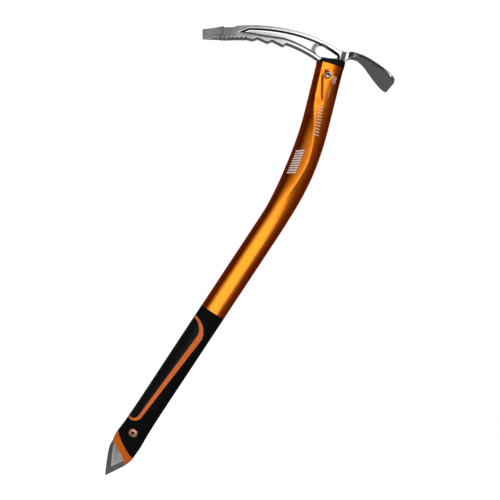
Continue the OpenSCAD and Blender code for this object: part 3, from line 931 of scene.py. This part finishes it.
def blade_top(u):
    bend = np.clip(u, TOP_U, TURN_END_U) - TOP_U
    on_arc = TOP_V - TURN + np.sqrt(np.maximum(TURN ** 2 - bend ** 2, 0))
    rising = 20.0 + (u - 12) * (TOP_V - 20.0) / (TOP_U - 12)
    return np.where(u < TOP_U, np.minimum(rising, TOP_V), np.where(u > TURN_END_U, blade_straight(u), on_arc))


def blade_low(u):
    """Underside of the neck, and from u = 45 to 50 on of the blade."""
    straight = blade_straight(u) - BLADE / math.cos(DROOP)
    near = table(u, [(11, 6.0), (15.6, 8.2), (17.6, 11), (20, 13.7), (24.5, 15.9), (30.6, 16.4),
                     (37, 14.6), (43, 12.3), (50, 8.9)])
    return np.where(u > 50, straight, np.minimum(near, np.where(u > 45, straight, 99)))


def blade_half(u):
    """Half width of the neck and the blade, with the rounded corners at the end."""
    w = 2.4 + 0.1 * ease((u - 11) / 5) + 2.95 * ease((u - 17.5) / 7) + 19.05 * ease((u - 20) / 52)
    past = np.maximum(u - (REACH - ROUND_CORNER), 0)
    return w - ROUND_CORNER + np.sqrt(np.maximum(ROUND_CORNER ** 2 - past ** 2, 0))


def adze_ring(u):
    """Section of the neck or the blade: y across and v up, hollowed a little below."""
    top, low, half_width = float(blade_top(u)), float(blade_low(u)), float(blade_half(u))
    mid, half = (top + low) / 2, (top - low) / 2
    lip = min(0.8, half * 0.6)
    y = np.linspace(-1, 1, 22)
    y = np.sign(y) * (1 - (1 - np.abs(y)) ** 1.25)
    dished = ease((u - 34) / 20)
    top_line = np.stack([y * (half_width - lip), top - 0.35 * dished * y ** 4], -1)
    low_line = np.stack([y * (half_width - lip), low + 0.486 * dished * (1 - y ** 2)], -1)
    side = []
    for a in np.radians([70, 45, 20, -20, -45, -70]):
        rise = math.copysign(abs(math.sin(a)) ** 0.55, a)
        side.append((half_width - lip + lip * math.cos(a) ** 0.7, mid + half * rise))
    side = np.array(side)
    return np.concatenate([top_line, side, low_line[::-1], side[::-1] * [-1, 1]])


def adze_mesh():
    """Rings along the neck and the blade; the last ones close its round-cornered end."""
    end = REACH - ROUND_CORNER + 7.48 * np.sin(np.linspace(0, math.pi / 2, 16))
    rings = []
    for u in np.concatenate([np.arange(10.5, 30, 0.75), np.arange(30, 68, 1.3), end]):
        ring = adze_ring(u)
        rings.append(head(u, ring[:, 1], ring[:, 0]))
    # the end face has a small bevel
    last = rings[-1]
    rings.append(last.mean(0) + (last - last.mean(0)) * [1, 0.985, 1])
    return tube_mesh(np.array(rings))


def bar_section(half_x, half_y, r, steps):
    """Closed oblong section with round corners, about the origin."""
    out = []
    for x, y, a in ((1, 1, 0), (-1, 1, 90), (-1, -1, 180), (1, -1, 270)):
        out += arc(x * (half_x - r), y * (half_y - r), r, a, a + 90, steps)
    return np.array(out)


def head_tang():
    """Flat bar with rounded long edges, hidden in the tube."""
    section = bar_section(10, 3.5, 1.2, 4)
    return tube_mesh(np.array([head(section[:, 0], v, section[:, 1]) for v in np.linspace(-48, 3.5, 6)]))


# ---------------------------------------------------------------- joining and drilling

def combine(base, other, operation, angle):
    """Joins another piece to the base, or cuts it away."""
    join = base.modifiers.new("join", "BOOLEAN")
    join.operation, join.solver, join.object = operation, "MANIFOLD", other
    bpy.context.view_layer.update()
    graph = bpy.context.evaluated_depsgraph_get()
    mesh = bpy.data.meshes.new_from_object(base.evaluated_get(graph))
    base.modifiers.clear()
    base.data = mesh
    bpy.data.objects.remove(other)
    finish_mesh(base, angle)


def drill(ob, centre, radius, angle):
    """Bores a round hole through a piece along Y, at (x, z)."""
    t = np.linspace(0, 2 * math.pi, 48, endpoint=False)
    x, z = centre[0] + radius * np.cos(t), centre[1] + radius * np.sin(t)
    rings = np.array([np.stack([x, np.full_like(x, y), z], -1) for y in (-20.0, 20.0)])
    tool = piece("drill", *tube_mesh(rings), ob.data.materials[0], "rivet_steel")
    combine(ob, tool, "DIFFERENCE", angle)


def united(name, parts, material, slot, replaced, angle):
    """One closed piece made of overlapping closed parts."""
    objects = [piece(name if k == 0 else name + "_part%d" % k, v, f, material, slot, (), angle)
               for k, (v, f) in enumerate(parts)]
    base = objects[0]
    for other in objects[1:]:
        combine(base, other, "UNION", angle)
    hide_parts(*replaced)
    return base


def paint_recess_shade(ob):
    """Marks the recess's wall with a value per point, for the shade painted there on the steel."""
    co = np.array([tuple(v.co) for v in ob.data.vertices]) / MM
    x, z = co[:, 0] - TOP[0], co[:, 2] - TOP[1]
    flat = np.stack([x * COS + z * SIN, z * COS - x * SIN], -1)
    near = (flat[:, 0] < 12) & (flat[:, 1] > 4) & (np.abs(co[:, 1]) < 5)
    deep = depth_in(flat[near], outline_of(RECESS, RECESS_STEP))
    value = np.zeros(len(co))
    value[near] = np.clip((deep + 0.25) / 0.3, 0, 1) * np.clip((1.75 - deep) / 0.4, 0, 1)
    layer = ob.data.attributes.new("painted_shade", "FLOAT", "POINT")
    layer.data.foreach_set("value", value.astype(np.float32))


HEAD_BORE = 2.7     # radius of the upper rivet's hole, in everything it goes through
TUBE_BORE = 2.8     # radius of the lower rivet's hole in the tube
SPIKE_BORE = 2.9    # radius of the lower rivet's hole in the sleeve and the spike

forging = [pick_mesh(), adze_mesh(), head_tang()]
head_piece = united("head", forging, FORGED, "forged_steel", ["head_forging"], angle=34)
drill(head_piece, HEAD_RIVET, HEAD_BORE, angle=34)
paint_recess_shade(head_piece)
drill(shaft, HEAD_RIVET, HEAD_BORE, angle=40)


# ---------------------------------------------------------------- the collar

def collar_mesh():
    """Black collar round the top of the tube, higher under the neck."""
    t, y = whole_ring(*shaft_ring(S_TOP))
    top = table(t, [(-17, 0.9), (-14.8, 1.6), (-10.5, 4.6), (-3, 5.2), (3, 6.3), (8, 7.3), (13, 8.0),
                    (17.4, 8.2)])
    rings = []
    levels = [(0.15, -0.6), (0.45, -0.3), (0.5, top - 0.9), (0.4, top - 0.45), (0.1, top - 0.12), (-0.5, top)]
    for grow, v in levels:
        rings.append(head(t * (1 + grow / 16.7), v, y * (1 + grow / HALF_THICK)))
    for shrink in (0.8, 0.5, 0.2, 0.02):
        rings.append(head(t * (1 - (1 - shrink) * 0.4), top, y * shrink))
    return tube_mesh(np.array(rings))


piece("collar", *collar_mesh(), COLLAR, "black_polymer", ["head_collar"], angle=40)


# ---------------------------------------------------------------- rivets

def eyelet(name, centre, material, slot, node, seat, flange, bore, shank):
    """Hollow rivet: radii of flange, bore and shank, and a rolled rim at y = seat on each side."""
    high = 0.75     # of the rim above its seat
    end = [(bore, seat - 0.2), (bore + 0.15, seat + high * 0.7), (bore + 0.6, seat + high)]
    end += [(bore + 0.6 + (flange - bore - 1.0) * k / 4, seat + high - 0.024 * k * k) for k in range(1, 5)]
    end += [(flange - 0.1, seat + high * 0.45), (flange, seat + 0.12), (flange - 0.1, seat - 0.25),
            (shank, seat - 0.3)]
    profile = end + [(r, -y) for r, y in reversed(end)]
    return lathe(name, profile, centre, material, slot, [node], steps=72, angle=28)


eyelet("rivet_head", HEAD_RIVET, RIVET, "rivet_steel", "head_rivet",
       seat=10.3, flange=3.35, bore=1.25, shank=2.8)
drill(shaft, SPIKE_AT, TUBE_BORE, angle=40)
eyelet("rivet_spike", SPIKE_AT, COPPER, "rivet_copper", "spike_rivet",
       seat=11.6, flange=5.2, bore=1.45, shank=3.0)


# ---------------------------------------------------------------- the grip

OVAL_HALF = 16.05       # half width of the oval that every ring of the grip is scaled from
GRIP_DEEP = 12.0        # half thickness of the grip
OVAL_STEPS = 720
GRIP_COLUMNS = 144


def grip_half(z):
    """Half width of the grip at a height."""
    return table(z, [(24, 14.6), (30, 16.2), (36, 17.0), (43, 17.4), (50, 17.5), (58, 17.2),
                     (68, 16.6), (85, 16.15), (110, 16.0), (238.5, 16.05)])


def grip_oval():
    """Closed oval from the front edge, near side first: arc lengths, x and y."""
    a = np.linspace(0, 2 * math.pi, OVAL_STEPS + 1)
    x = -OVAL_HALF * np.sign(np.cos(a)) * np.abs(np.cos(a)) ** (2 / 2.35)
    y = -GRIP_DEEP * np.sign(np.sin(a)) * np.abs(np.sin(a)) ** (2 / 2.15)
    return run_length(x, y), x, y


ALONG, OVAL_X, OVAL_Y = grip_oval()
ROUND = ALONG[-1]
AROUND = np.linspace(0, ROUND, GRIP_COLUMNS, endpoint=False)


def on_grip(q, z, lift=0.0):
    """Point and outward normal on the grip at arc length q from its front edge."""
    q, z = np.broadcast_arrays(np.asarray(q, float), np.asarray(z, float))
    at = np.arange(OVAL_STEPS + 1)
    k = np.interp(np.mod(q, ROUND), ALONG, at)
    x = np.interp(k, at, OVAL_X) * grip_half(z) / OVAL_HALF
    y = np.interp(k, at, OVAL_Y)
    before, after = np.mod(k - 0.6, OVAL_STEPS), np.mod(k + 0.6, OVAL_STEPS)
    dx = np.interp(after, at, OVAL_X) - np.interp(before, at, OVAL_X)
    dy = np.interp(after, at, OVAL_Y) - np.interp(before, at, OVAL_Y)
    size = np.maximum(np.hypot(dx, dy), 1e-9)
    normal = np.stack([dy / size, -dx / size, np.zeros_like(dx)], -1)
    outwards = np.sign(normal[..., 0] * x + normal[..., 1] * y)[..., None]
    normal = normal * np.where(outwards == 0, 1, outwards)
    return np.stack([x, y, z], -1) + normal * np.asarray(lift)[..., None], normal


def q_of(x):
    """Arc length on the near side where the grip's x is this."""
    near = ALONG <= ROUND / 2
    return np.interp(x, OVAL_X[near], ALONG[near])


def sleeve_edge(x):
    """Height of the sleeve's slanted lower edge."""
    return 46.8 - 0.56 * x


def sleeve_mesh():
    """Rubber skin of the grip, turned in at both ends."""
    start = sleeve_edge(on_grip(AROUND, 60.0)[0][:, 0])
    rings = []
    for inwards, up in ((2.5, 0.2), (0.7, 0.0), (0.25, 0.12), (0.0, 0.45)):
        rings.append(on_grip(AROUND, start + up, -inwards)[0])
    for k in np.linspace(0.02, 1, 110):
        rings.append(on_grip(AROUND, start + 0.45 + (GRIP_TOP - 0.6 - start - 0.45) * k)[0])
    for inwards, down in ((0.12, 0.25), (0.5, 0), (2.5, 0)):
        rings.append(on_grip(AROUND, GRIP_TOP - down, -inwards)[0])
    return tube_mesh(np.array(rings))


def end_collar_mesh():
    """Orange collar: its upper end is under the sleeve, its lower edge is slanted and rounded in."""
    x = on_grip(AROUND, 40.0)[0][:, 0]
    top = sleeve_edge(x)
    low = table(x, [(-17.5, 42.4), (-13.5, 42.2), (-4, 39.0), (6.1, 33.8), (14, 28.2), (16.5, 26.0)])
    rings = []
    for inwards, up in ((2.0, 5.0), (0.35, 4.0), (0.35, 0.2), (-0.05, -0.1), (-0.25, -0.45), (-0.3, -1.0)):
        rings.append(on_grip(AROUND, top + up, -inwards)[0])
    for k in np.linspace(0.1, 1, 14):
        rings.append(on_grip(AROUND, top - 1.0 + (low + 1.2 - top + 1.0) * k, 0.3 - 0.9 * k ** 2)[0])
    for inwards, up in ((1.1, 0.5), (1.7, 0.05), (2.6, 0.0), (7.0, 0.6)):
        rings.append(on_grip(AROUND, low + up, -inwards)[0])
    return tube_mesh(np.array(rings))


def pad_edge(top_centre, top_r, low_centre, low_r, count=220):
    """Near-side outline round the pad, from its top to its bottom: two arcs and their tangent.

    It is given as (arc length, z) and reaches the grip's front edge at both ends.
    """
    (ax, az), (bx, bz) = top_centre, low_centre
    apart = math.hypot(ax - bx, az - bz)
    tilt = math.atan2(az - bz, ax - bx)
    tangent = math.degrees(tilt - math.pi + math.acos((low_r - top_r) / apart))
    p = np.array(arc(ax, az, top_r, 90, tangent, 40) + arc(bx, bz, low_r, tangent, -90, 30))
    run = run_length(*p.T)
    want = np.linspace(0, run[-1], count)
    q, z = q_of(np.interp(want, run, p[:, 0])), np.interp(want, run, p[:, 1])
    lead = np.linspace(0, 1, 9)[:-1]
    first = np.stack([q[0] * lead, np.full(8, z[0])], -1)
    last = np.stack([q[-1] * lead[::-1], np.full(8, z[-1])], -1)
    return np.concatenate([first, np.stack([q, z], -1), last])


PAD_EDGE = pad_edge((-16.5, 204), 16.8, (-15, 88), 9)
LINE_EDGE = pad_edge((-16, 200.5), 23.5, (-13.5, 89), 12)


def line_skin():
    """The raised line round the pad, with a rounded section: points and normals."""
    inner, outer = (np.concatenate([edge, edge[-2:0:-1] * [-1, 1]]) for edge in (PAD_EDGE, LINE_EDGE))
    section = [(0.0, -0.1), (0.04, 0.18), (0.12, 0.3), (0.3, 0.34), (0.5, 0.35), (0.7, 0.34),
               (0.88, 0.3), (0.96, 0.18), (1.0, -0.1)]
    points, normals = [], []
    for k, lift in section:
        loop = inner * (1 - k) + outer * k
        point, normal = on_grip(loop[:, 0], loop[:, 1], lift)
        points.append(point)
        normals.append(normal)
    return np.array(points), np.array(normals)


def pad_skin():
    """The front pad with curved ribs, inside the line: points and normals."""
    rib_pitch, rib_depth = 3.6, 0.75
    z = np.linspace(79.6, 220.2, 380)[:, None]
    reach = [max(np.interp(level, PAD_EDGE[::-1, 1], PAD_EDGE[::-1, 0]) - 0.15, 0.2) for level in z[:, 0]]
    reach = np.array(reach)[:, None]
    q = reach * np.linspace(-1, 1, 61)
    from_front, from_line = np.abs(q), reach - np.abs(q)
    phase = np.mod((z + 0.055 * from_front ** 1.5 - 124) / rib_pitch, 1)
    groove = np.clip(1 - np.abs(phase - 0.5) / 0.24, 0, 1)
    fade = ease((z - 122) / 14) * ease((212 - z) / 12)
    margin = ease((from_line - 0.8) / 1.5) * ease((from_front - 3.0) / 2.0)
    lift = 0.12 - rib_depth * ease(groove) * fade * margin
    border = ease(from_line / 0.9)
    return on_grip(q, z, lift * border - 0.15 * (1 - border))


sleeve = piece("grip_sleeve_skin", *sleeve_mesh(), RUBBER, "black_rubber", ["grip_sleeve"], angle=40)
drill(sleeve, SPIKE_AT, SPIKE_BORE, angle=40)
shell("grip_line", *line_skin(), 0.9, ORANGE, "orange_polymer", ring=True)
shell("grip_pad_skin", *pad_skin(), 0.8, PAD, "black_rubber", ["grip_front_pad"])
piece("end_collar", *end_collar_mesh(), CAP, "orange_polymer", ["grip_under_moulding"], angle=40)


# ---------------------------------------------------------------- the spike

LEFT_EDGE = [(-16.0, 40.5), (-15.8, 36.0), (-14.8, 31.2), (-10.4, 20.4), (-5.4, 10.1), (-0.25, 0.1)]
RIGHT_EDGE = [(0.25, 0.1), (5.5, 8.8), (8.9, 14.8), (12.1, 20.3), (14.2, 24.6), (15.3, 29.0), (15.5, 34)]
# Borders of the middle facet, both ends of each
LEFT_CREST = np.array([(-13.6, 40.1), (-0.6, 15.6)])
RIGHT_CREST = np.array([(-0.6, 13.4), (10.2, 30.6)])
SPIKE_RISE, SPIKE_RIM = 3.3, 0.8    # height of the bevels, and half thickness of the sharp edges


def crest_axes(crest):
    """Length of a crest, its direction, and the direction away from the middle facet."""
    span = crest[1] - crest[0]
    length = np.hypot(*span)
    along = span / length
    return length, along, np.array([along[1], -along[0]])


def beyond(points, crest):
    """Distance past the crest's line on the side away from the middle facet."""
    return (points - crest[0]) @ crest_axes(crest)[2]


def spike_points(out):
    """The outline, then a grid, with rows of points that keep the facets' borders straight."""
    step = 0.55
    gx, gz = np.meshgrid(np.arange(-17, 17, step), np.arange(0.5, 60, step))
    grid = np.stack([gx.ravel() + 0.27 * (np.round(gz.ravel() / step) % 2), gz.ravel()], -1)
    rows = []
    for crest, offsets in ((LEFT_CREST, (-0.25, 0.0, 0.25)), (RIGHT_CREST, (-0.2, 0.0, 0.5, 0.75))):
        length, along, across = crest_axes(crest)
        for off in offsets:
            rows.append(crest[0] + across * off + along * np.arange(-3.0, length + 6, 0.5)[:, None])
        from_rows = np.abs(beyond(grid, crest) - np.mean(offsets))
        grid = grid[from_rows > np.ptp(offsets) / 2 + 0.3]
    grid = np.concatenate([grid] + rows)
    return np.concatenate([out, grid[inside(grid, out) & (distance(grid, out) > 0.35)]])


def spike_half(p):
    """Half thickness of the spike: ground bevels up to a middle facet that bows a little."""
    left, right = distance(p, np.array(LEFT_EDGE), False), distance(p, np.array(RIGHT_EDGE), False)
    past_left, past_right = beyond(p, LEFT_CREST), beyond(p, RIGHT_CREST)
    from_left = SPIKE_RIM + SPIKE_RISE * left / np.maximum(left + np.maximum(past_left, 0), 1e-6)
    ledge = 0.8
    run = right + np.maximum(past_right - 0.5, 0)
    from_right = SPIKE_RIM + (SPIKE_RISE - ledge) * right / np.maximum(run, 1e-6)
    # the right bevel ends in a small ledge below the middle facet
    from_right = from_right + ledge * (1 - np.clip(past_right / 0.5, 0, 1))
    bow = 0.045 * (p[:, 1] - 24) - 0.010 * (p[:, 0] - 3) ** 2
    h = np.minimum(from_left, from_right) + bow * ease(-past_left / 3.0) * ease(-past_right / 3.0)
    return np.clip(h, 0.6, 4.4)


def spike_mesh():
    """Arrow-shaped blade with ground bevels and a raised middle."""
    hidden = [(14.0, 37), (8, 46), (8, 60), (-8, 60)]
    out = anticlockwise(outline_of([(-8, 46), (-15.3, 43.5)] + LEFT_EDGE + RIGHT_EDGE + hidden, 0.7))
    co, triangles = triangulated(spike_points(out), out)
    h = spike_half(co)
    x, z = co.T
    verts, faces = both_sides(np.stack([x, -h, z], -1), np.stack([x, h, z], -1), triangles)
    n, count = len(out), len(co)
    faces += [[k, (k + 1) % n, (k + 1) % n + count, k + count] for k in range(n)]
    return verts, faces


def spike_tang():
    x, y = bar_section(8, 3, 1.0, 3).T
    return tube_mesh(np.array([np.stack([x, y, np.full(len(x), z)], -1) for z in np.linspace(57, 112, 4)]))


spike = united("spike", [spike_mesh(), spike_tang()], SPIKE, "spike_steel", ["spike_blade"], angle=24)
drill(spike, SPIKE_AT, SPIKE_BORE, angle=24)


# ---------------------------------------------------------------- the fillers

def filler_mesh(side):
    """Filler between the head's tang and the tube: side is -1 near the viewer, 1 beyond."""
    face, skin, columns = 3.55, 8.4, 60     # y of the face on the tang, and of the outer one
    rings = []
    for s in np.linspace(S_TOP - 48, S_TOP - 0.2, 14):
        t, y = shaft_ring(s, 2.0)
        held = y > face + 0.05
        across = np.linspace(t[held].max(), t[held].min(), columns)
        outer = np.minimum(np.interp(across[::-1], t[::-1], y[::-1])[::-1], skin)
        ring_y = np.concatenate([outer, np.full(columns, face)]) * side
        rings.append(across_shaft(s, np.concatenate([across, across[::-1]]), ring_y))
    return tube_mesh(np.array(rings))


for end, side in (("near", -1), ("far", 1)):
    replaced = ["head_filler_" + end]
    filler = piece("filler_head_" + end, *filler_mesh(side), FILLER, "grey_polymer", replaced, angle=40)
    drill(filler, HEAD_RIVET, HEAD_BORE, angle=40)

# The spike's fillers stay as the CAD made them, with a moulded finish
for end in ("near", "far"):
    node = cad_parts["spike_filler_" + end]
    node.data.materials.clear()
    node.data.materials.append(FILLER)


# ---------------------------------------------------------------- floor, light, camera

def add_floor():
    """Pale floor below the axe, which the metal doesn't reflect."""
    half, drop = 8.0, -0.10
    corners = [(-half, -half, drop), (half, -half, drop), (half, half, drop), (-half, half, drop)]
    mesh = bpy.data.meshes.new("floor")
    mesh.from_pydata(corners, [], [(0, 1, 2, 3)])
    floor = bpy.data.objects.new("floor", mesh)
    bpy.context.scene.collection.objects.link(floor)
    n = Nodes("pale_floor")
    cloud = n.span(n.noise(3, 3, 0.5), 0.3, 0.7)
    n.set(Base_Color=n.mix(cloud, (0.88, 0.88, 0.88), (0.92, 0.92, 0.92)), Roughness=0.9)
    n.set(Emission_Color=(1.0, 1.0, 1.0), Emission_Strength=0.5)
    mesh.materials.append(n.mat)
    floor.visible_glossy = False


def studio():
    """Even white for the backdrop and soft light; softboxes for what shines."""
    world = bpy.data.worlds.new("studio")
    bpy.context.scene.world = world
    world.use_nodes = True
    tree = world.node_tree
    tree.nodes.clear()

    def new(kind, **values):
        node = tree.nodes.new(kind)
        for key, value in values.items():
            setattr(node, key, value)
        return node

    def math_node(operation, *values):
        node = new("ShaderNodeMath", operation=operation)
        for socket, value in zip(node.inputs, values):
            if isinstance(value, (int, float)):
                socket.default_value = value
            else:
                tree.links.new(value, socket)
        return node.outputs[0]

    def band(value, low, high, soft):
        """1 between low and high, with soft edges."""
        outs = []
        for a, b in ((low - soft, low + soft), (high + soft, high - soft)):
            node = new("ShaderNodeMapRange", interpolation_type="SMOOTHSTEP")
            for key, number in (("From Min", a), ("From Max", b), ("To Min", 0.0), ("To Max", 1.0)):
                node.inputs[key].default_value = number
            tree.links.new(value, node.inputs["Value"])
            outs.append(node.outputs[0])
        return math_node("MULTIPLY", *outs)

    def background(strength):
        node = new("ShaderNodeBackground")
        node.inputs["Color"].default_value = (1, 1, 1, 1)
        if isinstance(strength, float):
            node.inputs["Strength"].default_value = strength
        else:
            tree.links.new(strength, node.inputs["Strength"])
        return node.outputs[0]

    part = new("ShaderNodeSeparateXYZ")
    tree.links.new(new("ShaderNodeTexCoord").outputs["Generated"], part.inputs[0])
    x, y, z = part.outputs
    turn = math_node("ARCTAN2", x, math_node("MULTIPLY", y, -1.0))     # 0 towards the front
    away = math_node("ABSOLUTE", turn)
    # each softbox: strength, then two bands of (direction, low, high, softness)
    softboxes = [
        (0.27, (turn, -0.54, -0.14, 0.12), (z, -0.5, 0.75, 0.15)),      # left of the camera
        (2.6, (turn, -0.155, 0.19, 0.06), (z, -0.42, 0.62, 0.10)),      # front
        (1.1, (away, 2.85, 4.0, 0.12), (z, -0.06, 0.48, 0.1)),          # back
        (0.10, (away, 1.35, 1.8, 0.2), (z, -0.3, 0.6, 0.15)),           # both sides
        (0.6, (away, 2.22, 2.48, 0.08), (z, -0.6, 0.6, 0.12)),          # both rear corners
        (0.55, (z, 0.72, 2.0, 0.16), (y, -2.0, 0.22, 0.12)),            # above
        (0.10, (turn, 0.3, 1.1, 0.2), (z, -0.4, 0.7, 0.2)),             # right of the camera
    ]
    total = math_node("MULTIPLY_ADD", band(z, -0.66, -0.22, 0.10), 0.10, 0.05)
    for strength, first, second in softboxes:
        lit = math_node("MULTIPLY", band(*first), band(*second))
        total = math_node("MULTIPLY_ADD", lit, strength, total)
    rays = new("ShaderNodeLightPath")
    last = background(0.6)
    for ray, light in (("Is Glossy Ray", background(total)), ("Is Camera Ray", background(1.0))):
        choose = new("ShaderNodeMixShader")
        for socket, value in zip(choose.inputs, (rays.outputs[ray], last, light)):
            tree.links.new(value, socket)
        last = choose.outputs[0]
    tree.links.new(last, new("ShaderNodeOutputWorld").inputs["Surface"])
    world.cycles.sampling_method = "NONE"


def area_light(name, place, aim, side, watts):
    """Square soft light that only diffuse surfaces see."""
    light = bpy.data.lights.new(name, "AREA")
    light.shape, light.size, light.size_y, light.energy = "RECTANGLE", side, side, watts
    ob = bpy.data.objects.new(name, light)
    bpy.context.scene.collection.objects.link(ob)
    ob.location = place
    ob.rotation_euler = (Vector(aim) - Vector(place)).to_track_quat("-Z", "Y").to_euler()
    ob.visible_camera = False
    ob.visible_glossy = False


def add_camera():
    """Square on to the side of the axe, rolled so that the shaft leans as in the photograph."""
    across, up = 0.5505, 0.8348     # direction of the lower shaft in the picture
    lens = bpy.data.cameras.new("camera")
    lens.sensor_width, lens.lens = 36.0, 38.5
    lens.clip_start, lens.clip_end = 0.01, 50
    camera = bpy.data.objects.new("camera", lens)
    bpy.context.scene.collection.objects.link(camera)
    camera.location = (-0.0037, -0.650, 0.3253)
    level = Matrix.Rotation(math.pi / 2, 3, "X")
    camera.rotation_euler = (Matrix.Rotation(-math.atan2(across, up), 3, "Y") @ level).to_euler()
    bpy.context.scene.camera = camera


add_floor()
studio()
middle_of_axe = (-0.05, 0, 0.3)
area_light("light_top", (0.2, -0.5, 2.0), middle_of_axe, 1.6, 9)
area_light("light_front", (-0.5, -2.0, 1.1), middle_of_axe, 1.4, 9)
add_camera()
bpy.context.scene.view_settings.view_transform = "Standard"
